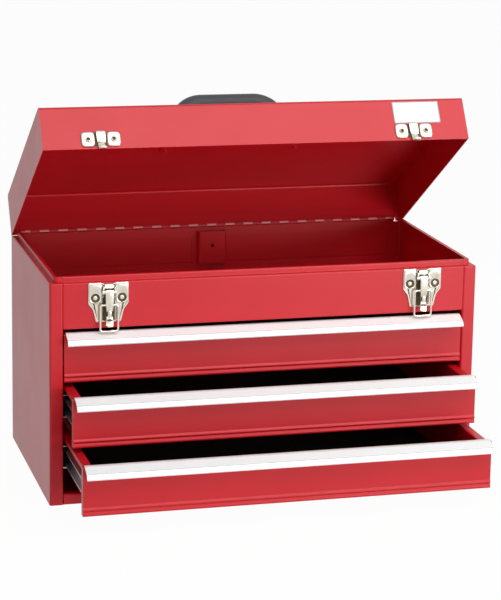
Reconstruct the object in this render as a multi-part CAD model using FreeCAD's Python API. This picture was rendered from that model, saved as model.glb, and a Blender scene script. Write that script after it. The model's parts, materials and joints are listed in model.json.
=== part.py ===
# Portable three-drawer tool chest of painted sheet steel, with its lid part open
# and its two lower drawers part out. Units are millimetres.
# Origin: centre of the underside. +X is the user's right, +Y the back, +Z up.
import FreeCAD, Part
import math
import os

from FreeCAD import Vector

# Case
case_width = 514.0
case_depth = 275.0
shoulder_height = 263.0     # top of the case's shoulder, which the lid closes over
sheet = 1.0                 # thickness of every painted sheet
bend = 1.5                  # inner radius of a sheet's bends
edge_round = 1.8            # outer radius of the shoulder's edges
seam = 0.2                  # gap where two sheets meet edge to edge
lap = 8.0                   # width of a lapped or turned joint flange
stile_width = 16.0          # front and back flanges of the side panels
stile_return = 20.0         # depth of the stile's inward lip, which carries the slides
fascia_height = 54.0        # panel above the drawers, up to the shoulder
base_rail_height = 13.0
base_flange = 10.0          # upturned sides of the bottom panel
floor_flange = 8.0          # upturned edge of the top compartment's floor

# Raised rim round the top compartment
ledge_width = 6.0           # shoulder outside the rim
rim_height = 6.5
rim_corner = 5.0
rim_hem = 4.0

# Lid and its piano hinge
lid_height = 54.0
lid_gap = 0.5               # between the closed lid and the shoulder
lid_bend = 3.0
lid_rest_angle = 32.4       # how far the lid stands open as stored
hinge_rise = 3.0            # pin above the shoulder
hinge_end_gap = 11.0        # hinge's end inside the case's side
knuckle_length = 12.0       # nearly; a whole number of knuckles fills the hinge
knuckle_gap = 0.3
knuckle_radius = 2.2
hinge_pin_radius = 1.1
pin_clearance = 0.06
leaf = 0.8
leaf_height = 14.0
hinge_relief = 4.4          # sheet edges stay this far from the pin's height

# Drawers
drawer_count = 3
foot_gap = 11.3             # between the base rail and the lowest front
drawer_gap = 3.2            # between two fronts
top_drawer_gap = 4.5        # between the fascia and the top drawer
side_gap = 1.0              # between a front and the stiles
drawer_travel = 190.0
drawer_out = [0.0, 55.9, 114.2]   # how far each drawer is out as stored, top to bottom
front_bend = 0.8
front_return = 9.0
front_top_return = 5.0
rib_depth = 1.7             # pressed rib along the foot of each front
rib_top = 10.2
rib_crown = 7.6
rib_bottom = 5.2
foot_depth = 1.1            # lip under the rib
foot_top = 2.7
liner_thickness = 3.0
liner_margin = 0.5
tray_back_clearance = 10.5  # between a closed drawer and the back panel
tray_back_drop = 9.0
tray_lip = 3.0

# Drawer pulls
pull_sheet = 1.2
pull_inset = 2.0            # pull's end inside the front's end
pull_upper_reach = 12.0
pull_upper_drop = 5.3
pull_reach = 16.0
pull_drop = 10.5
pull_hem = 1.4

# Ball-bearing slides
slide_width = 12.7
slide_sheet = 1.2
slide_height = 27.0
slide_length = 250.0
slide_setback = 11.5        # slide's front end behind the face of the fronts
slide_top_gap = 7.6         # slide below the lip of the tray's flange
slide_lip = 2.3
runner_gap = 0.8            # runner's web to the rail's lips
ball_radius = 1.5
ball_gap = 0.3
balls_per_row = 5
cage_sheet = 0.6
cage_end_gap = 1.0          # cage to the rail's end with the drawer fully out
cage_web_gap = 1.2          # cage to the rail's web
runner_tip_gap = 0.5        # runner's tips to the cage
cage_hole_clearance = 0.1
post_width = 25.0
post_overhang = 4.0         # slide's back end past the rear post

# Latches and keepers
latch_inset = 68.0          # middle of a latch from the case's side
latch_sheet = 1.2
latch_width = 47.0
latch_waist = 36.0
latch_foot = 29.0
latch_top_gap = 0.5         # plate below the shoulder
latch_wide_height = 24.5
latch_shoulder_height = 7.0
latch_height = 46.0
latch_rivet_spacing = 31.0
latch_rivet_drop = 17.7     # rivets below the plate's top
lever_pin_drop = 10.5       # lever's pin below the plate's top
lever_pin_reach = 4.6       # lever's pin in front of the plate
lever_pin_radius = 1.4
lever_barrel = 2.7
lever_sheet = 1.5
lever_width = 11.0
lever_ear_gap = 0.4
lever_length = 40.0
lever_tip_curl = 4.5
lever_taper_depth = 2.2
bail_pin_drop = 15.0        # bail's pivot below the lever's pin
bail_wire = 1.2
bail_width = 20.6
bail_barrel = 2.5
bail_clearance = 0.08
bail_lift = 0.6             # hanging bail above the drawer's pull
bail_bend = 3.0
keeper_width = 46.0
keeper_height = 18.0
keeper_rise = 2.4           # keeper above the lid's lower edge
keeper_rivet_spacing = 30.0
hook_width = 12.0
hook_standoff = 1.8
hook_reach = 6.8
hook_rise = 1.5             # underside of the hook above the lid's lower edge
hook_tip = 5.5
rivet_head = 2.7
rivet_head_height = 1.3
rivet_shank = 1.6
rivet_clearance = 0.1

# Carrying handle
handle_y = -12.0            # its line across the lid
handle_height = 65.0        # above the lid
handle_leg_x = 63.0
handle_arch = 30.0          # centre-line radius at the shoulders of the arch
grip_radius = 12.0
grip_foot = 27.0            # lower ends of the grip above the lid
core_radius = 3.0
core_bend = 13.0            # wide enough for the folded grip to lie clear of the saddles
handle_fold_gap = 0.6       # grip above the lid when the handle is folded flat
saddle_length = 12.0
saddle_wall = 3.0
saddle_foot = 3.0
saddle_depth = 30.0
saddle_screw_spacing = 21.0
screw_head = 3.0
screw_head_height = 1.8
screw_shank = 1.9
screw_clearance = 0.1
backing_sheet = 1.5
backing_depth = 32.0
nut_height = 2.6

# Back channel inside the top compartment, and the blank plate on the lid
channel_width = 34.0
channel_depth = 8.0
channel_hole = 2.2
channel_hole_drop = 22.0    # hole below the shoulder
channel_top_drop = 3.5
plate_inset = 61.0          # middle of the plate from the lid's end
plate_width = 58.0
plate_height = 28.0
plate_rise = 21.5
plate_thickness = 0.4

# Places worked out from the sizes above
half_width = case_width / 2
half_depth = case_depth / 2
front = -half_depth
back = half_depth
opening_x = half_width - stile_width
fascia_bottom = shoulder_height - fascia_height
floor_z = fascia_bottom + sheet
rim_x = half_width - ledge_width
rim_y = half_depth - ledge_width
rim_top = shoulder_height + rim_height
pin_y = back - sheet - knuckle_radius
pin_z = shoulder_height + hinge_rise
relief_z = pin_z - hinge_relief
notch_y = pin_y - hinge_relief - lid_gap
leaf_bottom = pin_z - leaf_height
lid_bottom = shoulder_height + lid_gap
lid_top = lid_bottom + lid_height
hinge_length = case_width - 2 * hinge_end_gap
latch_x = half_width - latch_inset
plate_x = half_width - plate_inset
drawer_space = fascia_bottom - top_drawer_gap - foot_gap - base_rail_height
drawer_height = (drawer_space - (drawer_count - 1) * drawer_gap) / drawer_count
drawer_pitch = drawer_height + drawer_gap
front_x = opening_x - side_gap
tray_x = opening_x - slide_width
tray_back = back - sheet - tray_back_clearance
slide_front = front + slide_setback
slide_back = slide_front + slide_length
cage_length = slide_length - drawer_travel - 2 * cage_end_gap
latch_top = shoulder_height - latch_top_gap
plate_face = front - latch_sheet
lever_y = plate_face - lever_pin_reach
lever_z = latch_top - lever_pin_drop
bail_z = lever_z - bail_pin_drop
handle_pin_z = lid_top + grip_radius + handle_fold_gap
grip_z = lid_top + handle_height - grip_radius
saddle_outer = handle_leg_x + core_bend + seam + saddle_length


def front_top(index):
    """Height of the top of a drawer's front, drawers counted from 0 at the top."""
    return fascia_bottom - top_drawer_gap - index * drawer_pitch


# Plain solids
def box(x, y, z):
    """Block from three (low, high) pairs."""
    corner = Vector(x[0], y[0], z[0])
    return Part.makeBox(x[1] - x[0], y[1] - y[0], z[1] - z[0], corner)


def rod_x(radius, x, y, z):
    """Cylinder along X between the two values of x."""
    return Part.makeCylinder(radius, x[1] - x[0], Vector(x[0], y, z), Vector(1, 0, 0))


def rounded_slab(half_x, half_y, radius, z):
    """Flat slab with rounded upright corners, centred on the origin."""
    slab = box((-half_x, half_x), (-half_y, half_y), z)
    upright = [edge for edge in slab.Edges if abs(edge.tangentAt(edge.FirstParameter).z) > 0.9]
    return slab.makeFillet(radius, upright)


def mirrored(shape):
    """The same piece on the other side of the chest."""
    return shape.mirror(Vector(0, 0, 0), Vector(1, 0, 0))


# Bent sheets, tubes and wires
def rounded_edges(points, radii):
    """Edges through the points, with an arc of the given radius at each inner point."""
    edges = []
    start = points[0]
    for before, corner, after, radius in zip(points, points[1:], points[2:], radii):
        towards = (before - corner).normalize()
        away = (after - corner).normalize()
        half_angle = towards.getAngle(away) / 2
        middle = (towards + away).normalize()
        reach = radius / math.tan(half_angle)
        first = corner + towards * reach
        last = corner + away * reach
        crown = corner + middle * (radius / math.sin(half_angle) - radius)
        edges.append(Part.LineSegment(start, first).toShape())
        edges.append(Part.Arc(first, crown, last).toShape())
        start = last
    edges.append(Part.LineSegment(start, points[-1]).toShape())
    return edges


def left_of(direction):
    return (-direction[1], direction[0])


def offset_points(points, distance):
    """The same outline moved to its left by a distance."""
    headings = []
    for first, last in zip(points, points[1:]):
        length = math.dist(first, last)
        headings.append(((last[0] - first[0]) / length, (last[1] - first[1]) / length))
    normals = [left_of(heading) for heading in headings]
    moved = []
    for index, point in enumerate(points):
        one = normals[max(index - 1, 0)]
        two = normals[min(index, len(normals) - 1)]
        share = distance / (1 + one[0] * two[0] + one[1] * two[1])
        moved.append((point[0] + share * (one[0] + two[0]), point[1] + share * (one[1] + two[1])))
    turns = [one[0] * two[1] - one[1] * two[0] for one, two in zip(headings, headings[1:])]
    return moved, turns


def bent_sheet(plane, points, span, thickness=sheet, radius=bend):
    """Sheet bent along an outline, its thickness to the outline's left.

    The outline lies in the plane "xy", "xz" or "yz" and is drawn out over the
    span along the axis that is left.
    """
    place = {
        "xy": lambda p: Vector(p[0], p[1], span[0]),
        "xz": lambda p: Vector(p[0], span[0], p[1]),
        "yz": lambda p: Vector(span[0], p[0], p[1]),
    }[plane]
    along = {"xy": Vector(0, 0, 1), "xz": Vector(0, 1, 0), "yz": Vector(1, 0, 0)}[plane]
    inner, turns = offset_points(points, thickness)
    near = [place(point) for point in points]
    far = [place(point) for point in inner]
    near_radii = [radius + thickness if turn > 0 else radius for turn in turns]
    far_radii = [radius if turn > 0 else radius + thickness for turn in turns]
    edges = rounded_edges(near, near_radii)
    edges.append(Part.LineSegment(near[-1], far[-1]).toShape())
    edges += rounded_edges(far[::-1], far_radii[::-1])
    edges.append(Part.LineSegment(far[0], near[0]).toShape())
    return Part.Face(Part.Wire(edges)).extrude(along * (span[1] - span[0]))


def tube(points, tube_bend, radius):
    """Round bar along straight runs joined by tangent arcs."""
    path = Part.Wire(rounded_edges(points, [tube_bend] * (len(points) - 2)))
    heading = points[1] - points[0]
    ring = Part.Wire(Part.Circle(points[0], heading, radius).toShape())
    return path.makePipeShell([ring], True, False)


def flat_piece(points, y, thickness):
    """Plate of the given front outline in X and Z, its face towards the user at y."""
    corners = [Vector(x, y, z) for x, z in points]
    return Part.Face(Part.makePolygon(corners + corners[:1])).extrude(Vector(0, thickness, 0))


def rivet(x, z, face_y, grip):
    """Rivet along Y: domed head in front of face_y, shank through the grip, flat tail."""
    head = Part.makeCylinder(rivet_head, rivet_head_height, Vector(x, face_y, z), Vector(0, -1, 0))
    crown = [edge for edge in head.Edges if abs(edge.BoundBox.YMin - face_y + rivet_head_height) < 0.01
             and edge.BoundBox.YLength < 0.01]
    head = head.makeFillet(rivet_head_height * 0.8, crown)
    shank = Part.makeCylinder(rivet_shank, grip, Vector(x, face_y, z), Vector(0, 1, 0))
    tail = Part.makeCylinder(rivet_head, sheet, Vector(x, face_y + grip, z), Vector(0, 1, 0))
    return head.fuse([shank, tail]).removeSplitter()


def rivet_hole(x, z):
    """Cutter for one rivet's hole through the front sheets."""
    radius = rivet_shank + rivet_clearance
    reach = 2 * stile_width
    return Part.makeCylinder(radius, reach, Vector(x, front - stile_width, z), Vector(0, 1, 0))


# Case panels
def case_envelope():
    """Solid block of the case's outer shape, with the rounded edge of the shoulder."""
    block = rounded_slab(half_width, half_depth, bend + sheet, (0, shoulder_height))
    crown = [edge for edge in block.Edges if edge.BoundBox.ZMin > shoulder_height - sheet]
    block = block.makeFillet(edge_round, crown)
    return block.fuse(rounded_slab(rim_x, rim_y, rim_corner, (0, rim_top)))


def side_panel():
    """Left side: a channel with its stile and back flange, the shoulder and the rim."""
    top = shoulder_height - sheet
    outline = [(-opening_x, back), (-half_width, back), (-half_width, front), (-opening_x, front),
               (-opening_x, front + stile_return)]
    wall = bent_sheet("xy", outline, (0, top))
    ledge = rounded_slab(half_width, half_depth, bend + sheet, (top, shoulder_height))
    rim = rounded_slab(rim_x, rim_y, rim_corner, (top, rim_top))
    under_hem = rounded_slab(rim_x - sheet, rim_y - sheet, rim_corner - sheet,
                             (top - sheet, rim_top - sheet))
    mouth = rounded_slab(rim_x - rim_hem, rim_y - rim_hem, sheet, (top - sheet, rim_top + sheet))
    crown = ledge.fuse(rim).cut([under_hem, mouth])
    crown = crown.common(box((-half_width, -opening_x), (front, notch_y), (top, rim_top)))
    lip_x = (-opening_x - sheet - bend, -opening_x + sheet)
    lip_y = (front + sheet, front + stile_return + sheet)
    return wall.fuse(crown).common(case_envelope()).cut([
        box((-half_width - sheet, -opening_x + sheet), (notch_y, back + sheet), (relief_z, rim_top)),
        box(lip_x, lip_y, (floor_z, top)),
        box(lip_x, lip_y, (-sheet, sheet + seam)),
    ]).removeSplitter()


def fascia():
    """Panel above the drawers, with the front of the shoulder and rim in one piece."""
    outline = [(-rim_y + rim_hem, rim_top), (-rim_y, rim_top), (-rim_y, shoulder_height),
               (front, shoulder_height), (front, fascia_bottom),
               (front + front_return, fascia_bottom)]
    reach = opening_x - seam
    panel = bent_sheet("yz", outline, (-reach, reach), sheet, edge_round - sheet)
    for side in (-1, 1):
        tab_x = sorted((side * (opening_x - lap / 2), side * (opening_x + lap)))
        tab_y = (front + sheet, front + 2 * sheet)
        panel = panel.fuse(box(tab_x, tab_y, (floor_z + sheet + seam, shoulder_height - 2 * sheet)))
    for x, z in latch_rivets_at():
        panel = panel.cut(rivet_hole(x, z))
    return panel.removeSplitter()


def back_panel():
    """Flat back with a lapped flange behind each side panel's flange."""
    reach = opening_x - seam
    panel = box((-reach, reach), (back - sheet, back), (0, relief_z))
    for side in (-1, 1):
        tab_x = sorted((side * (opening_x - lap / 2), side * (opening_x + lap)))
        tab_y = (back - 2 * sheet, back - sheet)
        panel = panel.fuse(box(tab_x, tab_y, (sheet + seam, leaf_bottom - seam)))
    return panel.removeSplitter()


def bottom_panel():
    """Bottom with the low rail across the front and upturned sides."""
    inner_back = back - 2 * sheet - seam
    outline = [(front + lap, base_rail_height), (front, base_rail_height), (front, 0),
               (inner_back, 0)]
    rail = bent_sheet("yz", outline, (-opening_x + seam, opening_x - seam))
    inner_x = half_width - sheet - seam / 2
    plate = box((-inner_x, inner_x), (front + sheet + seam, inner_back), (0, sheet))
    panel = rail.fuse(plate)
    for side in (-1, 1):
        flange_x = sorted((side * (inner_x - sheet), side * inner_x))
        flange_y = (front + stile_return + seam, inner_back)
        panel = panel.fuse(box(flange_x, flange_y, (0, base_flange)))
    return panel.removeSplitter()


def tray_floor():
    """Floor of the top compartment: a flat sheet with an edging strip along each side."""
    inner_x = half_width - sheet - seam
    inner_y = half_depth - 2 * sheet - seam
    edging_z = (floor_z + sheet, floor_z + floor_flange)
    pieces = [box((-inner_x, inner_x), (-inner_y, inner_y), (floor_z, floor_z + sheet))]
    for side in (-1, 1):
        end_x = sorted((side * (inner_x - sheet), side * inner_x))
        end_y = (-inner_y + sheet + seam, inner_y - sheet - seam)
        long_y = sorted((side * (inner_y - sheet), side * inner_y))
        pieces.append(box(end_x, end_y, edging_z))
        pieces.append(box((-inner_x, inner_x), long_y, edging_z))
    return Part.makeCompound(pieces)


def slide_post():
    """Left rear post, which carries the back ends of the slides."""
    foot = -half_width + sheet
    far = slide_back - post_overhang
    outline = [(foot, far - post_width), (-opening_x, far - post_width), (-opening_x, far),
               (foot, far)]
    return bent_sheet("xy", outline, (base_flange + seam, floor_z))


def back_channel():
    """Upright channel on the back wall of the top compartment."""
    half = channel_width / 2
    foot = back - sheet
    web = foot - channel_depth
    outline = [(half + lap, foot), (half, foot), (half, web), (-half, web), (-half, foot),
               (-half - lap, foot)]
    top = shoulder_height - channel_top_drop
    channel = bent_sheet("xy", outline, (floor_z + floor_flange, top), sheet, bend)
    hole_z = shoulder_height - channel_hole_drop
    hole = Part.makeCylinder(channel_hole, channel_depth, Vector(0, web - channel_depth / 2, hole_z),
                             Vector(0, 1, 0))
    clear_of_leaf = box((-case_width, case_width), (foot - leaf - sheet, back),
                        (leaf_bottom - seam, shoulder_height))
    return channel.cut([hole, clear_of_leaf])


# Piano hinge
def knuckle_spans(own):
    """X spans of every second knuckle: own is 0 for the case's leaf and 1 for the lid's."""
    count = round(hinge_length / knuckle_length)
    pitch = hinge_length / count
    spans = []
    for index in range(own, count, 2):
        start = -hinge_length / 2 + index * pitch
        spans.append((start + knuckle_gap / 2, start + pitch - knuckle_gap / 2))
    return spans


def hinge_leaf(own):
    """Leaf with its knuckles: below the pin for the case, above it for the lid."""
    way = -1 if own == 0 else 1
    face = (back - sheet - leaf, back - sheet)
    clear = knuckle_radius + 2 * knuckle_gap - seam
    plate_z = sorted((pin_z + way * clear, pin_z + way * leaf_height))
    shape = box((-hinge_length / 2, hinge_length / 2), face, plate_z)
    web_z = sorted((pin_z, pin_z + way * clear))
    parts = []
    for span in knuckle_spans(own):
        parts.append(box(span, face, web_z))
        parts.append(rod_x(knuckle_radius, span, pin_y, pin_z))
    shape = shape.fuse(parts).removeSplitter()
    bore = rod_x(hinge_pin_radius + pin_clearance, (-case_width, case_width), pin_y, pin_z)
    return shape.cut(bore)


def hinge_pin():
    return rod_x(hinge_pin_radius, (-hinge_length / 2, hinge_length / 2), pin_y, pin_z)


# Lid, modelled closed and then swung to the angle at which it is stored
def swung(shape):
    """A lid piece moved from the closed pose to the stored one."""
    turned = shape.copy()
    turned.rotate(Vector(0, pin_y, pin_z), Vector(1, 0, 0), -lid_rest_angle)
    return turned


def lid_skin():
    """Front, top and back of the lid in one bent sheet."""
    outline = [(back, pin_z + knuckle_radius + 2 * knuckle_gap), (back, lid_top), (front, lid_top),
               (front, lid_bottom)]
    reach = half_width - sheet
    skin = bent_sheet("yz", outline, (-reach, reach), sheet, lid_bend)
    for x, z in keeper_rivets_at():
        skin = skin.cut(rivet_hole(x, z))
    for x, y in handle_screws_at():
        skin = skin.cut(screw_hole(x, y))
    return skin


def lid_end():
    """Left end of the lid: an end plate with a flange lapped inside the skin."""
    x = (-half_width, -half_width + sheet)
    plate = box(x, (front, back), (lid_bottom, lid_top))
    corners = [edge for edge in plate.Edges
               if edge.BoundBox.XLength > sheet / 2 and edge.BoundBox.ZMin > lid_top - sheet]
    plate = plate.makeFillet(lid_bend + sheet, corners)
    outline = [(back - sheet, lid_bottom), (back - sheet, lid_top - sheet),
               (front + sheet, lid_top - sheet), (front + sheet, lid_bottom)]
    flange = bent_sheet("yz", outline, (x[1], x[1] + lap), sheet, lid_bend - sheet)
    return plate.fuse(flange).removeSplitter()


def blank_plate():
    """Plain plate on the right of the lid's front."""
    x = (plate_x - plate_width / 2, plate_x + plate_width / 2)
    z = (lid_bottom + plate_rise, lid_bottom + plate_rise + plate_height)
    return box(x, (front - plate_thickness, front), z)


# Keepers on the lid
def keeper_rivets_at():
    z = lid_bottom + keeper_rise + keeper_height / 2
    return [(side * latch_x + way * keeper_rivet_spacing / 2, z) for side in (-1, 1) for way in (-1, 1)]


def keeper(side):
    """Riveted plate with a hook that the bail pulls on."""
    x = side * latch_x
    low = lid_bottom + keeper_rise
    half = keeper_width / 2
    plate = box((x - half, x + half), (front - latch_sheet, front), (low, low + keeper_height))
    corners = [edge for edge in plate.Edges if edge.BoundBox.YLength > latch_sheet / 2]
    plate = plate.makeFillet(bend, corners)
    hook_low = lid_bottom + hook_rise
    hook_tip_y = plate_face - hook_reach
    hook_back_y = plate_face - hook_standoff
    outline = [(hook_tip_y, hook_low + hook_tip), (hook_tip_y, hook_low), (hook_back_y, hook_low),
               (hook_back_y, low + keeper_height / 2), (plate_face, low + keeper_height / 2 + keeper_rise),
               (plate_face, low + keeper_height)]
    span = (x - hook_width / 2, x + hook_width / 2)
    hook = bent_sheet("yz", outline, span, latch_sheet, latch_sheet)
    shape = plate.fuse(hook)
    for rivet_x, rivet_z in keeper_rivets_at():
        shape = shape.cut(rivet_hole(rivet_x, rivet_z))
    return shape.removeSplitter()


def keeper_rivets():
    grip = latch_sheet + sheet
    return Part.makeCompound([rivet(x, z, plate_face, grip) for x, z in keeper_rivets_at()])


# Latches on the case
def latch_rivets_at():
    z = latch_top - latch_rivet_drop
    return [(side * latch_x + way * latch_rivet_spacing / 2, z) for side in (-1, 1) for way in (-1, 1)]


def latch_plate(side):
    """Base plate with two ears that hold the lever's pin."""
    x = side * latch_x
    wide_z = latch_top - latch_wide_height
    waist_z = wide_z - latch_shoulder_height
    foot_z = latch_top - latch_height
    right = [(latch_foot / 2, foot_z), (latch_waist / 2, waist_z), (latch_width / 2, wide_z),
             (latch_width / 2, latch_top)]
    outline = [(x - dx, z) for dx, z in right] + [(x + dx, z) for dx, z in right[::-1]]
    plate = flat_piece(outline, plate_face, latch_sheet)
    corners = [edge for edge in plate.Edges if edge.BoundBox.YLength > latch_sheet / 2]
    plate = plate.makeFillet(bend, corners)
    ear_gap = lever_width / 2 + lever_ear_gap
    for way in (-1, 1):
        ear_x = sorted((x + way * ear_gap, x + way * (ear_gap + latch_sheet)))
        ear = rod_x(lever_barrel, ear_x, lever_y, lever_z)
        web = box(ear_x, (lever_y, plate_face), (lever_z - lever_barrel, lever_z + lever_barrel))
        plate = plate.fuse([ear, web])
    bore = rod_x(lever_pin_radius + pin_clearance, (x - latch_width, x + latch_width), lever_y, lever_z)
    holes = [rivet_hole(rivet_x, rivet_z) for rivet_x, rivet_z in latch_rivets_at()]
    return plate.cut([bore] + holes).removeSplitter()


def latch_rivets():
    grip = latch_sheet + sheet
    return Part.makeCompound([rivet(x, z, plate_face, grip) for x, z in latch_rivets_at()])


def latch_pins():
    """Pins of both levers, each with a small head at both ends."""
    reach = lever_width / 2 + lever_ear_gap + latch_sheet
    pins = []
    for side in (-1, 1):
        x = side * latch_x
        pin = rod_x(lever_pin_radius, (x - reach, x + reach), lever_y, lever_z)
        heads = [rod_x(lever_barrel - knuckle_gap, span, lever_y, lever_z)
                 for span in ((x - reach - sheet, x - reach), (x + reach, x + reach + sheet))]
        pins.append(pin.fuse(heads).removeSplitter())
    return Part.makeCompound(pins)


def lever_taper(x, way):
    """Cutter that narrows one side of a lever towards its tip."""
    half = lever_width / 2
    tip = half - lever_taper_depth
    foot = lever_z - lever_length
    points = [(half, foot + lever_length / 2), (tip, foot - sheet), (lever_width, foot - sheet),
              (lever_width, foot + lever_length / 2)]
    corners = [Vector(x + way * dx, front, z) for dx, z in points]
    return Part.Face(Part.makePolygon(corners + corners[:1])).extrude(Vector(0, -stile_return, 0))


def latch_lever(side):
    """Lever that hangs from its pin, with a barrel for the bail and a curled tip."""
    x = side * latch_x
    half = lever_width / 2
    span = (x - half, x + half)
    outside = lever_y - lever_barrel
    foot = lever_z - lever_length
    outline = [(outside, lever_z), (outside, foot + 3 * lever_tip_curl),
               (outside + lever_sheet, foot + 1.5 * lever_tip_curl), (outside - lever_tip_curl / 2, foot)]
    strap = bent_sheet("yz", outline, span, lever_sheet, lever_sheet)
    barrel = rod_x(lever_barrel, span, lever_y, lever_z)
    bail_tube = rod_x(bail_barrel, span, lever_y, bail_z)
    lever = strap.fuse([barrel, bail_tube])
    taper = [lever_taper(x, way) for way in (-1, 1)]
    bores = [rod_x(lever_pin_radius + pin_clearance, (x - case_depth, x + case_depth), lever_y, lever_z),
             rod_x(bail_wire + bail_clearance, (x - case_depth, x + case_depth), lever_y, bail_z)]
    return lever.cut(taper + bores).removeSplitter()


def latch_bail(side):
    """Wire loop that hangs from the lever, its ends turned into the lever's barrel."""
    x = side * latch_x
    half = bail_width / 2
    low = front_top(0) + bail_lift + bail_wire
    inner = lever_width / 2 - bail_width / 6
    points = [(-inner, bail_z), (-half, bail_z), (-half, low), (half, low), (half, bail_z), (inner, bail_z)]
    return tube([Vector(x + dx, lever_y, z) for dx, z in points], bail_bend, bail_wire)


# Carrying handle
def handle_screws_at():
    middle = saddle_outer - saddle_length / 2
    half = saddle_screw_spacing / 2
    return [(side * middle, handle_y + way * half) for side in (-1, 1) for way in (-1, 1)]


def screw_hole(x, y):
    radius = screw_shank + screw_clearance
    return Part.makeCylinder(radius, lid_height, Vector(x, y, lid_top - lid_height / 2))


def handle_bracket(side):
    """Saddle that holds one end of the handle's core on the lid."""
    x = sorted((side * (saddle_outer - saddle_length), side * saddle_outer))
    wall = core_radius + saddle_wall
    foot = box(x, (handle_y - saddle_depth / 2, handle_y + saddle_depth / 2),
               (lid_top, lid_top + saddle_foot))
    cheek = box(x, (handle_y - wall, handle_y + wall), (lid_top, handle_pin_z))
    crown = rod_x(wall, x, handle_y, handle_pin_z)
    bracket = foot.fuse([cheek, crown])
    bracket = bracket.cut([screw_hole(sx, sy) for sx, sy in handle_screws_at()])
    bore = rod_x(core_radius + pin_clearance, (-case_width, case_width), handle_y, handle_pin_z)
    return bracket.cut(bore).removeSplitter()


def arch_points(foot):
    """Corners of the handle's centre line between two heights of its feet."""
    return [Vector(-handle_leg_x, handle_y, foot), Vector(-handle_leg_x, handle_y, grip_z),
            Vector(handle_leg_x, handle_y, grip_z), Vector(handle_leg_x, handle_y, foot)]


def handle_core():
    """Steel bar of the handle: an arch whose feet turn outwards into the saddles."""
    end = saddle_outer - sheet
    ends = [Vector(side * end, handle_y, handle_pin_z) for side in (-1, 1)]
    points = ends[:1] + arch_points(handle_pin_z) + ends[1:]
    path = Part.Wire(rounded_edges(points, [core_bend, handle_arch, handle_arch, core_bend]))
    ring = Part.Wire(Part.Circle(points[0], Vector(1, 0, 0), core_radius).toShape())
    return path.makePipeShell([ring], True, False)


def handle_grip():
    """Moulded grip round the upper part of the core."""
    low = lid_top + grip_foot
    outer = tube(arch_points(low), handle_arch, grip_radius)
    bore = tube(arch_points(low - core_radius), handle_arch, core_radius + pin_clearance)
    return outer.cut(bore)


def handle_screws():
    """Screws through the saddles, the lid and the backing plate, each with its nut."""
    top = lid_top + saddle_foot
    bottom = lid_top - sheet - backing_sheet - nut_height
    screws = []
    for x, y in handle_screws_at():
        head = Part.makeCylinder(screw_head, screw_head_height, Vector(x, y, top))
        crown = [edge for edge in head.Edges if edge.BoundBox.ZMin > top + screw_head_height / 2
                 and edge.BoundBox.ZLength < 0.01]
        head = head.makeFillet(screw_head_height / 2, crown)
        shank = Part.makeCylinder(screw_shank, top - bottom, Vector(x, y, bottom))
        corners = [Vector(x + screw_head * math.cos(math.radians(60 * turn)),
                          y + screw_head * math.sin(math.radians(60 * turn)), bottom)
                   for turn in range(7)]
        nut = Part.Face(Part.makePolygon(corners)).extrude(Vector(0, 0, nut_height))
        screws.append(head.fuse([shank, nut]).removeSplitter())
    return Part.makeCompound(screws)


def handle_backing():
    """Stiffening plate under the lid's top, between the screws."""
    plate = box((-saddle_outer, saddle_outer), (handle_y - backing_depth / 2, handle_y + backing_depth / 2),
                (lid_top - sheet - backing_sheet, lid_top - sheet))
    return plate.cut([screw_hole(x, y) for x, y in handle_screws_at()])


# Drawers, modelled closed and then drawn out by their stored distance
def drawer_front(index):
    """Front panel with a rib pressed out along its foot and turned edges."""
    top = front_top(index) - pull_sheet
    low = front_top(index) - drawer_height
    foot_y = front - foot_depth
    outline = [(front + front_top_return, top), (front, top), (front, low + rib_top),
               (front - rib_depth, low + rib_crown), (front, low + rib_bottom),
               (foot_y, low + foot_top), (foot_y, low), (front + front_return, low)]
    panel = bent_sheet("yz", outline, (-front_x, front_x), sheet, front_bend)
    for side in (-1, 1):
        x = sorted((side * (front_x - sheet), side * front_x))
        flange = box(x, (front + sheet / 2, front + front_return), (low + sheet / 2, top - sheet / 2))
        panel = panel.fuse(flange)
    return panel.removeSplitter()


def drawer_pull(index):
    """Full-width metal strip that leans out from the top of the front."""
    top = front_top(index)
    outline = [(front + front_top_return, top), (front, top),
               (front - pull_upper_reach, top - pull_upper_drop), (front - pull_reach, top - pull_drop),
               (front - pull_reach + pull_hem, top - pull_drop - pull_hem)]
    reach = front_x - pull_inset
    return bent_sheet("yz", outline, (-reach, reach), pull_sheet, pull_sheet / 2)


def tray_top(index):
    return front_top(index) - pull_sheet - sheet - front_bend


def drawer_tray(index):
    """Bottom, sides and back, with a flange over each slide."""
    top = tray_top(index)
    floor = front_top(index) - drawer_height + sheet
    outer = opening_x - side_gap - 2 * sheet - seam
    left = [(-outer, top - sheet - tray_lip), (-outer, top - sheet), (-tray_x, top - sheet), (-tray_x, floor)]
    outline = left + [(-x, z) for x, z in left[::-1]]
    tray = bent_sheet("xz", outline, (front + sheet, tray_back), sheet, front_bend)
    inner_x = tray_x - sheet / 2
    back_wall = box((-inner_x, inner_x), (tray_back - sheet, tray_back), (floor, top - tray_back_drop))
    return tray.fuse(back_wall).removeSplitter()


def drawer_liner(index):
    """Foam mat on the drawer's bottom."""
    floor = front_top(index) - drawer_height + 2 * sheet
    half = tray_x - sheet - front_bend - liner_margin
    y = (front + sheet + liner_margin, tray_back - sheet - liner_margin)
    return box((-half, half), y, (floor, floor + liner_thickness))


# Slides
def slide_z(index):
    """Height of a slide's middle, hung under the lip of the tray's flange."""
    return tray_top(index) - sheet - tray_lip - slide_top_gap - slide_height / 2


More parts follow.
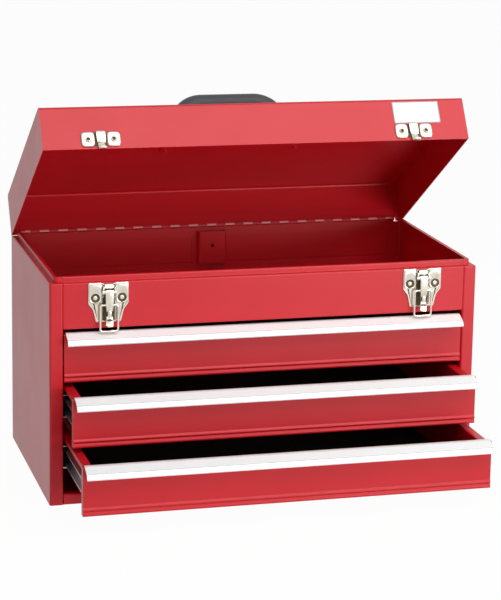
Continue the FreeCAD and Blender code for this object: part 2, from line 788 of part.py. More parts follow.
def slide_rail(index):
    """Left rail on the case: a channel open towards the drawer, with lips for the balls."""
    z = slide_z(index)
    half = slide_height / 2
    tip = -tray_x - slide_sheet - runner_gap
    outline = [(tip, z + half - slide_lip), (tip, z + half), (-opening_x, z + half),
               (-opening_x, z - half), (tip, z - half), (tip, z - half + slide_lip)]
    return bent_sheet("xz", outline, (slide_front, slide_back), slide_sheet, cage_sheet)


def slide_runner(index):
    """Left runner on the drawer, nested in the rail with a row of balls above and below."""
    z = slide_z(index)
    half = slide_height / 2 - slide_sheet - 2 * (ball_radius + ball_gap)
    tip = -opening_x + slide_sheet + cage_web_gap + cage_sheet + runner_tip_gap
    outline = [(tip, z - half), (-tray_x, z - half), (-tray_x, z + half), (tip, z + half)]
    return bent_sheet("xz", outline, (slide_front, slide_back), slide_sheet, cage_sheet)


def ball_places(index):
    """X, Y and Z of the left slide's balls with the drawer closed."""
    x = -tray_x - slide_width / 2 + seam
    middle = (slide_front + slide_back) / 2
    spacing = cage_length / balls_per_row
    rise = slide_height / 2 - slide_sheet - ball_gap - ball_radius
    return [(x, middle + (count - (balls_per_row - 1) / 2) * spacing, slide_z(index) + way * rise)
            for way in (-1, 1) for count in range(balls_per_row)]


def slide_cage(index):
    """Left ball cage with its balls."""
    z = slide_z(index)
    rise = slide_height / 2 - slide_sheet - ball_gap - ball_radius + cage_sheet / 2
    web = -opening_x + slide_sheet + cage_web_gap
    tip = -tray_x - slide_sheet - runner_gap - slide_sheet
    middle = (slide_front + slide_back) / 2
    outline = [(tip, z + rise), (web, z + rise), (web, z - rise), (tip, z - rise)]
    span = (middle - cage_length / 2, middle + cage_length / 2)
    cage = bent_sheet("xz", outline, span, cage_sheet, cage_sheet)
    holes = []
    balls = []
    for x, y, ball_z in ball_places(index):
        foot = Vector(x, y, ball_z - ball_radius)
        holes.append(Part.makeCylinder(ball_radius + cage_hole_clearance, 2 * ball_radius, foot))
        balls.append(Part.makeSphere(ball_radius, Vector(x, y, ball_z)))
    return [cage.cut(holes)] + balls


def drawn_out(shape, distance):
    moved = shape.copy()
    moved.translate(Vector(0, -distance, 0))
    return moved


# All pieces by name, in the stored pose
def build():
    parts = {
        "side_panel_left": side_panel(),
        "side_panel_right": mirrored(side_panel()),
        "back_panel": back_panel(),
        "bottom_panel": bottom_panel(),
        "fascia": fascia(),
        "tray_floor": tray_floor(),
        "back_channel": back_channel(),
        "slide_post_left": slide_post(),
        "slide_post_right": mirrored(slide_post()),
        "hinge_leaf_case": hinge_leaf(0),
        "hinge_pin": hinge_pin(),
        "latch_rivets": latch_rivets(),
        "latch_pivot_pins": latch_pins(),
        "hinge_leaf_lid": swung(hinge_leaf(1)),
        "lid_skin": swung(lid_skin()),
        "lid_end_left": swung(lid_end()),
        "lid_end_right": swung(mirrored(lid_end())),
        "keeper_rivets": swung(keeper_rivets()),
        "label_plate": swung(blank_plate()),
        "handle_screws": swung(handle_screws()),
        "handle_backing_plate": swung(handle_backing()),
        "handle_core": swung(handle_core()),
        "handle_grip": swung(handle_grip()),
    }
    for name, side in (("left", -1), ("right", 1)):
        parts["latch_plate_" + name] = latch_plate(side)
        parts["latch_lever_" + name] = latch_lever(side)
        parts["latch_bail_" + name] = latch_bail(side)
        parts["keeper_" + name] = swung(keeper(side))
        parts["handle_bracket_" + name] = swung(handle_bracket(side))
    for index in range(drawer_count):
        number = str(index + 1)
        out = drawer_out[index]
        parts["drawer_front_" + number] = drawn_out(drawer_front(index), out)
        parts["drawer_pull_" + number] = drawn_out(drawer_pull(index), out)
        parts["drawer_tray_" + number] = drawn_out(drawer_tray(index), out)
        parts["drawer_liner_" + number] = drawn_out(drawer_liner(index), out)
        rail = slide_rail(index)
        runner = drawn_out(slide_runner(index), out)
        cage = [drawn_out(shape, out / 2) for shape in slide_cage(index)]
        parts["slide_rail_left_" + number] = rail
        parts["slide_rail_right_" + number] = mirrored(rail)
        parts["slide_runner_left_" + number] = runner
        parts["slide_runner_right_" + number] = mirrored(runner)
        parts["slide_cages_" + number] = Part.makeCompound(cage + [mirrored(shape) for shape in cage])
    return parts


os.makedirs("parts", exist_ok=True)
parts_built = build()
for name, shape in parts_built.items():
    shape.exportStep("parts/" + name + ".step")
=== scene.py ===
import json
import math

import bmesh
import bpy
from mathutils import Matrix, Vector


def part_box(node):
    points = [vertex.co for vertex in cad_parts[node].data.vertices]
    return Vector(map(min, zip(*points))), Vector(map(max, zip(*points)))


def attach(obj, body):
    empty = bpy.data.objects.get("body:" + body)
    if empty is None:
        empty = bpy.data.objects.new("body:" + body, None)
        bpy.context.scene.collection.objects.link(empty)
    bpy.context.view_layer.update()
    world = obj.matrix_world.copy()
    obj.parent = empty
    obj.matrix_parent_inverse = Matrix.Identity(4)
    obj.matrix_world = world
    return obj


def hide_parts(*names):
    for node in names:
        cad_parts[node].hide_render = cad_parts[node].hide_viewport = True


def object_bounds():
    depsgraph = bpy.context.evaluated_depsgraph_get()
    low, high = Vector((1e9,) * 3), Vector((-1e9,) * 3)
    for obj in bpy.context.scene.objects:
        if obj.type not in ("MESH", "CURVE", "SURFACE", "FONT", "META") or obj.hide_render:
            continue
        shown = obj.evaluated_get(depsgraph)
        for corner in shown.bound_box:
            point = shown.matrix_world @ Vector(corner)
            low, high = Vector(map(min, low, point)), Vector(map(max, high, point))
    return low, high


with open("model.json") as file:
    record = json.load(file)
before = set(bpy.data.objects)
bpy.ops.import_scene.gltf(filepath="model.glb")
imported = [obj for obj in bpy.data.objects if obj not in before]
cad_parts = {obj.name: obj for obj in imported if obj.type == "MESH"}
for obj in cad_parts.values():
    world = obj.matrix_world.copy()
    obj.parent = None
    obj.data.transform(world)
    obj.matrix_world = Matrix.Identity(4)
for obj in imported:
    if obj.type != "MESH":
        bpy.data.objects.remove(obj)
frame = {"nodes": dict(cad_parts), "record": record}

cad_low, cad_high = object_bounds()
nodes = frame["nodes"]
bpy.ops.object.select_all(action="DESELECT")

# Camera
# A long lens a little above the lid, from the left of the chest's front. Its place
# comes from the chest's corners in the photograph.
camera_place = Vector((-0.6705, -2.5069, 0.8317))
camera_turn_right = math.radians(15.3)
camera_tilt_down = math.radians(12.1)
camera_roll = math.radians(1.0)
camera_data = bpy.data.cameras.new("studio_camera")
camera_data.sensor_width = 36.0
camera_data.lens = 130.66
camera_data.shift_y = -0.1
camera_data.clip_end = 50.0
camera = bpy.data.objects.new("studio_camera", camera_data)
bpy.context.scene.collection.objects.link(camera)
camera.matrix_world = (Matrix.Translation(camera_place)
                       @ Matrix.Rotation(-camera_turn_right, 4, "Z")
                       @ Matrix.Rotation(math.pi / 2 - camera_tilt_down, 4, "X")
                       @ Matrix.Rotation(camera_roll, 4, "Z"))
bpy.context.scene.camera = camera

# Floor and studio light
# A white sweep that reads as plain white paper. A wide softbox hangs over the front,
# where the lid's face mirrors it, with a low one on the right and a weak one on the left.
bpy.context.scene.view_settings.view_transform = "Standard"
floor_reach = 14.0
floor_shadow = 0.03           # how much of the chest's shadow the paper keeps


def shown_to(tree):
    """One for the rays that show the background itself: camera, glossy and transmission rays."""
    rays = tree.nodes.new("ShaderNodeLightPath")
    shown = rays.outputs["Is Camera Ray"]
    for kind in ("Is Glossy Ray", "Is Transmission Ray"):
        either = tree.nodes.new("ShaderNodeMath")
        either.operation = "MAXIMUM"
        tree.links.new(shown, either.inputs[0])
        tree.links.new(rays.outputs[kind], either.inputs[1])
        shown = either.outputs[0]
    return shown


bpy.ops.mesh.primitive_plane_add(size=floor_reach, location=(0, 0, cad_low.z))
floor = bpy.context.object
floor.name = "studio_floor"
paper = bpy.data.materials.new("white_paper")
paper.use_nodes = True
paper_tree = paper.node_tree
paper_tree.nodes.clear()
paper_out = paper_tree.nodes.new("ShaderNodeOutputMaterial")
paper_mix = paper_tree.nodes.new("ShaderNodeMixShader")
paper_matt = paper_tree.nodes.new("ShaderNodeBsdfDiffuse")
paper_matt.inputs["Color"].default_value = (0.92, 0.92, 0.92, 1)
paper_glow = paper_tree.nodes.new("ShaderNodeEmission")
paper_share = paper_tree.nodes.new("ShaderNodeMath")
paper_share.operation = "MULTIPLY"
paper_share.inputs[1].default_value = 1 - floor_shadow
paper_tree.links.new(shown_to(paper_tree), paper_share.inputs[0])
paper_tree.links.new(paper_share.outputs[0], paper_mix.inputs["Fac"])
paper_tree.links.new(paper_matt.outputs[0], paper_mix.inputs[1])
paper_tree.links.new(paper_glow.outputs[0], paper_mix.inputs[2])
paper_tree.links.new(paper_mix.outputs[0], paper_out.inputs["Surface"])
floor.data.materials.append(paper)

room_light = 0.04
world = bpy.data.worlds.new("studio_room")
bpy.context.scene.world = world
world.use_nodes = True
world_tree = world.node_tree
world_tree.nodes.clear()
world_out = world_tree.nodes.new("ShaderNodeOutputWorld")
world_mix = world_tree.nodes.new("ShaderNodeMixShader")
world_seen = world_tree.nodes.new("ShaderNodeBackground")
world_seen.inputs["Strength"].default_value = 1.0
world_lit = world_tree.nodes.new("ShaderNodeBackground")
world_lit.inputs["Strength"].default_value = room_light
for background in (world_seen, world_lit):
    background.inputs["Color"].default_value = (1, 1, 1, 1)
world_tree.links.new(shown_to(world_tree), world_mix.inputs["Fac"])
world_tree.links.new(world_lit.outputs[0], world_mix.inputs[1])
world_tree.links.new(world_seen.outputs[0], world_mix.inputs[2])
world_tree.links.new(world_mix.outputs[0], world_out.inputs["Surface"])

chest_middle = (cad_low + cad_high) / 2


def softbox(name, place, width, height, power):
    """Rectangular lamp that faces the middle of the chest."""
    lamp = bpy.data.lights.new(name, "AREA")
    lamp.shape = "RECTANGLE"
    lamp.size = width
    lamp.size_y = height
    lamp.energy = power
    holder = bpy.data.objects.new(name, lamp)
    bpy.context.scene.collection.objects.link(holder)
    aim = (chest_middle - Vector(place)).to_track_quat("-Z", "Y")
    holder.matrix_world = Matrix.Translation(place) @ aim.to_matrix().to_4x4()


softbox("softbox_over", (0.40, -1.35, 2.05), 3.0, 1.6, 45)
softbox("softbox_right", (1.5, -2.6, 0.36), 1.8, 0.7, 36)
softbox("softbox_left", (-1.6, -2.2, 0.9), 1.2, 0.8, 3)

# Painted sheet steel
# The case, the lid and the drawers are one-millimetre sheet, powder coated in a deep
# glossy red. The coat has a fine orange peel.
paint_red = (0.60, 0.005, 0.014, 1)
paint_deep = (0.52, 0.003, 0.010, 1)
peel_scale = 900.0            # bumps in a metre
peel_height = 0.06
mottle_scale = 14.0

coat = bpy.data.node_groups.new("powder_coat", "ShaderNodeTree")
for socket_name, socket_kind in (("Colour", "NodeSocketColor"), ("Deep colour", "NodeSocketColor"),
                                 ("Gloss", "NodeSocketFloat"), ("Peel", "NodeSocketFloat")):
    coat.interface.new_socket(socket_name, in_out="INPUT", socket_type=socket_kind)
for socket_name, socket_kind in (("Colour", "NodeSocketColor"), ("Roughness", "NodeSocketFloat"),
                                 ("Normal", "NodeSocketVector")):
    coat.interface.new_socket(socket_name, in_out="OUTPUT", socket_type=socket_kind)
coat_in = coat.nodes.new("NodeGroupInput")
coat_out = coat.nodes.new("NodeGroupOutput")
coat_place = coat.nodes.new("ShaderNodeTexCoord")
coat_mottle = coat.nodes.new("ShaderNodeTexNoise")
coat_mottle.inputs["Scale"].default_value = mottle_scale
coat_peel = coat.nodes.new("ShaderNodeTexNoise")
coat_peel.inputs["Scale"].default_value = peel_scale
coat_peel.inputs["Detail"].default_value = 1.0
coat_blend = coat.nodes.new("ShaderNodeMix")
coat_blend.data_type = "RGBA"
coat_range = coat.nodes.new("ShaderNodeMapRange")
coat_range.inputs["To Min"].default_value = -0.04
coat_range.inputs["To Max"].default_value = 0.04
coat_add = coat.nodes.new("ShaderNodeMath")
coat_add.operation = "ADD"
coat_bump = coat.nodes.new("ShaderNodeBump")
coat_bump.inputs["Distance"].default_value = 0.0002
for texture in (coat_mottle, coat_peel):
    coat.links.new(coat_place.outputs["Object"], texture.inputs["Vector"])
coat.links.new(coat_mottle.outputs["Fac"], coat_blend.inputs["Factor"])
coat.links.new(coat_in.outputs["Colour"], coat_blend.inputs["A"])
coat.links.new(coat_in.outputs["Deep colour"], coat_blend.inputs["B"])
coat.links.new(coat_blend.outputs["Result"], coat_out.inputs["Colour"])
coat.links.new(coat_mottle.outputs["Fac"], coat_range.inputs["Value"])
coat.links.new(coat_range.outputs["Result"], coat_add.inputs[0])
coat.links.new(coat_in.outputs["Gloss"], coat_add.inputs[1])
coat.links.new(coat_add.outputs[0], coat_out.inputs["Roughness"])
coat.links.new(coat_peel.outputs["Fac"], coat_bump.inputs["Height"])
coat.links.new(coat_in.outputs["Peel"], coat_bump.inputs["Strength"])
coat.links.new(coat_bump.outputs["Normal"], coat_out.inputs["Normal"])


def surface(name):
    """New material with its Principled shader, as (material, tree, shader)."""
    material = bpy.data.materials.new(name)
    material.use_nodes = True
    return material, material.node_tree, material.node_tree.nodes["Principled BSDF"]


def coated(name, colour, deep, gloss, peel, clear):
    """Powder-coated finish; clear is the weight of the glossy top of the coat."""
    material, tree, shader = surface(name)
    finish = tree.nodes.new("ShaderNodeGroup")
    finish.node_tree = coat
    finish.inputs["Colour"].default_value = colour
    finish.inputs["Deep colour"].default_value = deep
    finish.inputs["Gloss"].default_value = gloss
    finish.inputs["Peel"].default_value = peel
    shader.inputs["Specular IOR Level"].default_value = 0.42
    shader.inputs["Coat Weight"].default_value = clear
    shader.inputs["Coat Roughness"].default_value = 0.08
    tree.links.new(finish.outputs["Colour"], shader.inputs["Base Color"])
    tree.links.new(finish.outputs["Roughness"], shader.inputs["Roughness"])
    tree.links.new(finish.outputs["Normal"], shader.inputs["Normal"])
    return material


def dress(names, material):
    """Puts one material on CAD nodes."""
    for name in names:
        slots = nodes[name].data.materials
        slots.clear()
        slots.append(material)


by_slot = {}
for subpart in frame["record"]["subparts"]:
    by_slot.setdefault(subpart["material_slot"], []).append(subpart["node"])
red_paint = coated("red_powder_coat", paint_red, paint_deep, 0.40, peel_height, 0.08)
dress(by_slot["red_paint"], red_paint)

# Drawer pulls
# Full-width satin-anodised aluminium strips. Drawn metal has a faint grain along its
# length, so the gloss is streaked along X, and a dark line is painted along the strip's bend as a painted reflection.
pull_metal, pull_tree, pull_shader = surface("bright_aluminium")
pull_shader.inputs["Metallic"].default_value = 0.05
pull_bright = (0.95, 0.97, 0.97, 1)
pull_painted_reflection = (0.36, 0.38, 0.42, 1)
pull_place = pull_tree.nodes.new("ShaderNodeTexCoord")
pull_stretch = pull_tree.nodes.new("ShaderNodeMapping")
pull_stretch.inputs["Scale"].default_value = (6, 900, 900)
pull_grain = pull_tree.nodes.new("ShaderNodeTexNoise")
pull_grain.inputs["Scale"].default_value = 1.0
pull_range = pull_tree.nodes.new("ShaderNodeMapRange")
pull_range.inputs["To Min"].default_value = 0.30
pull_range.inputs["To Max"].default_value = 0.38
pull_tree.links.new(pull_place.outputs["Object"], pull_stretch.inputs["Vector"])
pull_tree.links.new(pull_stretch.outputs["Vector"], pull_grain.inputs["Vector"])
pull_tree.links.new(pull_grain.outputs["Fac"], pull_range.inputs["Value"])
pull_tree.links.new(pull_range.outputs["Result"], pull_shader.inputs["Roughness"])
# Faces turned like the bend get the grey painted reflection instead of the bright colour.
pull_turn = pull_tree.nodes.new("ShaderNodeSeparateXYZ")
pull_bend_reflection_mask = pull_tree.nodes.new("ShaderNodeMath")
pull_bend_reflection_mask.operation = "COMPARE"
pull_bend_reflection_mask.inputs[1].default_value = 0.765
pull_bend_reflection_mask.inputs[2].default_value = 0.09
pull_tone = pull_tree.nodes.new("ShaderNodeMix")
pull_tone.data_type = "RGBA"
pull_tone.inputs["A"].default_value = pull_bright
pull_tone.inputs["B"].default_value = pull_painted_reflection
pull_tree.links.new(pull_place.outputs["Normal"], pull_turn.inputs["Vector"])
pull_tree.links.new(pull_turn.outputs["Z"], pull_bend_reflection_mask.inputs[0])
pull_tree.links.new(pull_bend_reflection_mask.outputs[0], pull_tone.inputs["Factor"])
pull_tree.links.new(pull_tone.outputs["Result"], pull_shader.inputs["Base Color"])
dress(by_slot["pull_metal"], pull_metal)

# Drawer liners
# Black foam mats cut to the trays. Their surface is a fine open-cell grain.
foam, foam_tree, foam_shader = surface("black_foam_grain")
foam_shader.inputs["Roughness"].default_value = 0.95
foam_place = foam_tree.nodes.new("ShaderNodeTexCoord")
foam_cells = foam_tree.nodes.new("ShaderNodeTexVoronoi")
foam_cells.inputs["Scale"].default_value = 700.0
foam_ramp = foam_tree.nodes.new("ShaderNodeMapRange")
foam_ramp.inputs["To Min"].default_value = 0.006
foam_ramp.inputs["To Max"].default_value = 0.030
foam_bump = foam_tree.nodes.new("ShaderNodeBump")
foam_bump.inputs["Strength"].default_value = 0.7
foam_bump.inputs["Distance"].default_value = 0.0006
foam_tree.links.new(foam_place.outputs["Object"], foam_cells.inputs["Vector"])
foam_tree.links.new(foam_cells.outputs["Distance"], foam_ramp.inputs["Value"])
foam_tree.links.new(foam_ramp.outputs["Result"], foam_shader.inputs["Base Color"])
foam_tree.links.new(foam_cells.outputs["Distance"], foam_bump.inputs["Height"])
foam_tree.links.new(foam_bump.outputs["Normal"], foam_shader.inputs["Normal"])

mm = 0.001
mat_wave = 0.25 * mm          # how unevenly a mat lies
mat_edge = 0.6 * mm


def only(piece):
    """Makes one piece the only thing selected."""
    bpy.ops.object.select_all(action="DESELECT")
    bpy.context.view_layer.objects.active = piece
    piece.select_set(True)


def finish_with(piece, kind, **settings):
    """Adds a modifier to a piece and applies it."""
    only(piece)
    modifier = piece.modifiers.new(kind.lower(), kind)
    for setting, value in settings.items():
        setattr(modifier, setting, value)
    bpy.ops.object.modifier_apply(modifier=modifier.name)


def clothe(piece, materials, slot_name, body, *stands_for):
    """Gives a new piece its finish, its body and the CAD nodes that it stands for."""
    for index, material in enumerate(materials):
        if index < len(piece.data.materials):
            piece.data.materials[index] = material
        else:
            piece.data.materials.append(material)
    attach(piece, body)
    if stands_for:
        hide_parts(*stands_for)


for number in ("1", "2", "3"):
    low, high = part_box("drawer_liner_" + number)
    bpy.ops.object.select_all(action="DESELECT")
    bpy.ops.mesh.primitive_grid_add(x_subdivisions=72, y_subdivisions=36, size=1)
    mat = bpy.context.object
    mat.name = "foam_mat_" + number
    mat.scale = (high.x - low.x, high.y - low.y, 1)
    mat.location = ((low.x + high.x) / 2, (low.y + high.y) / 2, high.z - 2 * mat_wave)
    bpy.ops.object.transform_apply(location=True, rotation=True, scale=True)
    for vertex in mat.data.vertices:
        ripple = math.sin(23 * vertex.co.x + float(number)) + math.sin(31 * vertex.co.y + 17 * vertex.co.x)
        vertex.co.z += mat_wave * ripple / 2
    finish_with(mat, "SOLIDIFY", thickness=high.z - low.z - 3 * mat_wave, offset=-1.0)
    finish_with(mat, "BEVEL", width=mat_edge, segments=3, limit_method="ANGLE", angle_limit=math.radians(60))
    bpy.ops.object.shade_smooth_by_angle(angle=math.radians(40))
    clothe(mat, [foam], "black_foam", "drawer_" + number, "drawer_liner_" + number)

# Latches, keepers, slides and pins
# Pressed steel with a thin warm nickel plate on the latches and keepers, and plain
# zinc on the slides and pins. Both are a little uneven where the plating is thin.


def plated(name, bright, dull, low, high, scale):
    """Plated steel whose colour and gloss drift between two values."""
    material, tree, shader = surface(name)
    shader.inputs["Metallic"].default_value = 1.0
    place = tree.nodes.new("ShaderNodeTexCoord")
    drift = tree.nodes.new("ShaderNodeTexNoise")
    drift.inputs["Scale"].default_value = scale
    drift.inputs["Detail"].default_value = 4.0
    colour = tree.nodes.new("ShaderNodeMix")
    colour.data_type = "RGBA"
    colour.inputs["A"].default_value = bright
    colour.inputs["B"].default_value = dull
    gloss = tree.nodes.new("ShaderNodeMapRange")
    gloss.inputs["To Min"].default_value = low
    gloss.inputs["To Max"].default_value = high
    tree.links.new(place.outputs["Object"], drift.inputs["Vector"])
    tree.links.new(drift.outputs["Fac"], colour.inputs["Factor"])
    tree.links.new(drift.outputs["Fac"], gloss.inputs["Value"])
    tree.links.new(colour.outputs["Result"], shader.inputs["Base Color"])
    tree.links.new(gloss.outputs["Result"], shader.inputs["Roughness"])
    return material


nickel = plated("warm_nickel", (0.86, 0.82, 0.74, 1), (0.52, 0.47, 0.38, 1), 0.12, 0.30, 120.0)
zinc = plated("bright_zinc", (0.66, 0.68, 0.70, 1), (0.42, 0.44, 0.47, 1), 0.25, 0.45, 80.0)
pale_nickel = plated("pale_nickel", (0.70, 0.66, 0.57, 1), (0.46, 0.42, 0.34, 1), 0.22, 0.38, 150.0)
# Dark brown painted shade for the hollows round the latches and keepers where shade falls: rivet rings, channels,
# holes and gaps.
painted_shade = plated("nickel_painted_shade", (0.16, 0.12, 0.07, 1), (0.05, 0.036, 0.02, 1), 0.45, 0.65, 160.0)
painted_shade.node_tree.nodes["Principled BSDF"].inputs["Metallic"].default_value = 0.0
painted_shade.node_tree.nodes["Principled BSDF"].inputs["Specular IOR Level"].default_value = 0.25
dress(by_slot["nickel_plate"], nickel)
dress(by_slot["zinc_steel"], zinc)
dress(by_slot["pin_steel"], zinc)
latch_x = 189.0 * mm


def shaping(piece):
    """Opens one piece in edit mode with nothing selected."""
    only(piece)
    bpy.ops.object.mode_set(mode="EDIT")
    bpy.ops.mesh.select_all(action="DESELECT")


def shaped(piece, crease=35):
    """Closes edit mode with the faces outwards and the gentle edges smooth."""
    bpy.ops.mesh.select_mode(type="FACE")
    bpy.ops.mesh.select_all(action="SELECT")
    bpy.ops.mesh.normals_make_consistent(inside=False)
    bpy.ops.object.mode_set(mode="OBJECT")
    only(piece)
    bpy.ops.object.shade_smooth_by_angle(angle=math.radians(crease))
    return piece


def pick(piece, test, kind="faces"):
    """Selects only the faces or edges of an open piece that pass a test."""
    bpy.ops.mesh.select_mode(type="FACE" if kind == "faces" else "EDGE")
    bpy.ops.mesh.select_all(action="DESELECT")
    mesh = bmesh.from_edit_mesh(piece.data)
    mesh.normal_update()
    for item in getattr(mesh, kind):
        if test(item):
            item.select_set(True)
    bmesh.update_edit_mesh(piece.data)


def block(name, low, high, rounding):
    """Small block between two corners, with all its edges rounded."""
    bpy.ops.object.select_all(action="DESELECT")
    bpy.ops.mesh.primitive_cube_add(size=1, location=(Vector(low) + Vector(high)) / 2)
    piece = bpy.context.object
    piece.name = name
    piece.data.materials.append(nickel)
    piece.scale = Vector(high) - Vector(low)
    bpy.ops.object.transform_apply(location=True, rotation=True, scale=True)
    shaping(piece)
    pick(piece, lambda edge: True, "edges")
    bpy.ops.mesh.bevel(offset=rounding, segments=3)
    return shaped(piece)


def barrel(name, middle, radius, length, rounding):
    """Round bar along X with rounded ends."""
    bpy.ops.object.select_all(action="DESELECT")
    bpy.ops.mesh.primitive_cylinder_add(vertices=32, radius=radius, depth=length, location=middle,
                                        rotation=(0, math.pi / 2, 0))
    piece = bpy.context.object
    piece.name = name
    piece.data.materials.append(nickel)
    bpy.ops.object.transform_apply(location=True, rotation=True, scale=True)
    shaping(piece)
    pick(piece, lambda edge: abs(edge.verts[0].co.x - edge.verts[1].co.x) < 0.01 * mm, "edges")
    bpy.ops.mesh.bevel(offset=rounding, segments=3)
    return shaped(piece)


def sink(piece):
    """Gives an open piece the nickel and a dark painted shade, the painted shade on its selected faces."""
    piece.data.materials.append(nickel)
    piece.data.materials.append(painted_shade)
    piece.active_material_index = 1
    bpy.ops.object.material_slot_assign()


def pressed_pad(name, x, z, rings, deep_rings):
    """Pad pressed out of the sheet round a rivet, ring by ring from the middle outwards.

    Each ring is (x, z, half width, half height, squareness, y) in mm from the middle, and
    the faces inside the first deep_rings rings get the second material, a dark painted shade.
    """
    bpy.ops.object.select_all(action="DESELECT")
    bpy.ops.mesh.primitive_circle_add(vertices=40, radius=1, fill_type="NGON")
    piece = bpy.context.object
    piece.name = name
    shaping(piece)
    bpy.ops.mesh.select_all(action="SELECT")
    for count, (dx, dz, half_x, half_z, square, y) in enumerate(rings):
        if count:
            pick(piece, lambda edge: edge.is_boundary, "edges")
            bpy.ops.mesh.extrude_edges_move()
        mesh = bmesh.from_edit_mesh(piece.data)
        chosen = [vertex for vertex in mesh.verts if vertex.select]
        turns = [math.atan2(vertex.co.y if not count else vertex.co.z - last[1],
                            vertex.co.x - (last[0] if count else 0)) for vertex in chosen]
        order = sorted(range(len(chosen)), key=lambda index: turns[index])
        for place, index in enumerate(order):
            turn = -math.pi + 2 * math.pi * (place + 0.5) / len(chosen)
            along = math.copysign(abs(math.cos(turn)) ** (2 / square), math.cos(turn))
            up = math.copysign(abs(math.sin(turn)) ** (2 / square), math.sin(turn))
            chosen[index].co = Vector((x + (dx + half_x * along) * mm, y * mm, z + (dz + half_z * up) * mm))
        bmesh.update_edit_mesh(piece.data)
        last = (x + dx * mm, z + dz * mm)
    reach = rings[deep_rings]
    pick(piece, lambda face: math.hypot(face.calc_center_median().x - x - reach[0] * mm,
                                        face.calc_center_median().z - z - reach[1] * mm) < reach[2] * mm * 0.97)
    sink(piece)
    return shaped(piece, 50)


def bent_strip(name, line, thickness):
    """Strip of sheet through (y, z, half width) points in mm, its middle on x = 0."""
    bpy.ops.object.select_all(action="DESELECT")
    bpy.ops.mesh.primitive_plane_add(size=1)
    piece = bpy.context.object
    piece.name = name
    piece.data.materials.append(nickel)
    first, second = line[0], line[1]
    for vertex in piece.data.vertices:
        y, z, half = first if vertex.co.y < 0 else second
        vertex.co = Vector((math.copysign(half, vertex.co.x) * mm, y * mm, z * mm))
    shaping(piece)
    last = second
    for y, z, half in line[2:]:
        pick(piece, lambda edge: all((vertex.co - Vector((vertex.co.x, last[0] * mm, last[1] * mm))).length
                                     < 0.01 * mm for vertex in edge.verts), "edges")
        bpy.ops.mesh.extrude_edges_move(TRANSFORM_OT_translate={"value": (0, (y - last[0]) * mm, (z - last[1]) * mm)})
        bpy.ops.transform.resize(value=(half / last[2], 1, 1))
        last = (y, z, half)
    bpy.ops.object.mode_set(mode="OBJECT")
    finish_with(piece, "SOLIDIFY", thickness=thickness * mm, offset=0.0)
    shaping(piece)
    pick(piece, lambda edge: True, "edges")
    shaped(piece)
    finish_with(piece, "SUBSURF", levels=3, render_levels=3)
    bpy.ops.object.shade_smooth()
    return piece


def joined(name, pieces):
    """Joins pieces into one."""
    only(pieces[0])
    for piece in pieces[1:]:
        piece.select_set(True)
    bpy.ops.object.join()
    pieces[0].name = name
    return pieces[0]


def moved_copy(piece, name, x):
    """Copy of a piece with its own mesh, moved along X."""
    twin = piece.copy()
    twin.data = piece.data.copy()
    twin.name = name
    bpy.context.scene.collection.objects.link(twin)
    twin.data.transform(Matrix.Translation((x, 0, 0)))
    return twin


# Latch plates
# Pressed plates with a raised pad round each rivet, a sunk middle where the wire lies,
# and a roof and two cheeks round the lever's pin. Riveted to the fascia.
lever_y = -143.3
lever_z = 252.0
channel_half = 7.4 * mm        # half the width of the channel under the lever and the wire, painted dark as shade
sunk_y = -138.25 * mm
outline = [(-14.5, 216.5), (-18, 231), (-23.5, 238), (-23.5, 262.5), (-8.4, 262.5), (-7.2, 261.0), (7.2, 261.0),
           (8.4, 262.5), (23.5, 262.5), (23.5, 238), (18, 231), (14.5, 216.5)]
bpy.ops.object.select_all(action="DESELECT")
bpy.ops.mesh.primitive_circle_add(vertices=len(outline), radius=1, fill_type="NGON")
plate = bpy.context.object
for vertex, (x, z) in zip(plate.data.vertices, outline):
    vertex.co = Vector((x * mm, -137.52 * mm, z * mm))
shaping(plate)
bpy.ops.mesh.select_all(action="SELECT")
bpy.ops.mesh.extrude_region_move(TRANSFORM_OT_translate={"value": (0, -1.18 * mm, 0)})
bpy.ops.mesh.select_all(action="SELECT")
bpy.ops.mesh.normals_make_consistent(inside=False)
pick(plate, lambda edge: abs(edge.verts[0].co.y - edge.verts[1].co.y) > 1 * mm, "edges")
bpy.ops.mesh.bevel(offset=1.6 * mm, segments=4)
pick(plate, lambda face: face.normal.y < -0.9)
bpy.ops.mesh.inset(thickness=0.35 * mm, depth=0.3 * mm)
bpy.ops.mesh.inset(thickness=1.5 * mm)
bpy.ops.mesh.inset(thickness=0.4 * mm, depth=-0.75 * mm)
for side in (-1, 1):
    bpy.ops.mesh.bisect(plane_co=(side * channel_half, 0, 0), plane_no=(1, 0, 0))
    pick(plate, lambda face: face.normal.y < -0.99 and abs(face.calc_center_median().y - sunk_y) < 0.05 * mm)
# The sunk middle between the two cuts is painted dark as shade.
pick(plate, lambda face: face.normal.y < -0.99 and abs(face.calc_center_median().y - sunk_y) < 0.05 * mm
     and abs(face.calc_center_median().x) < channel_half)
sink(plate)
shaped(plate, 40)
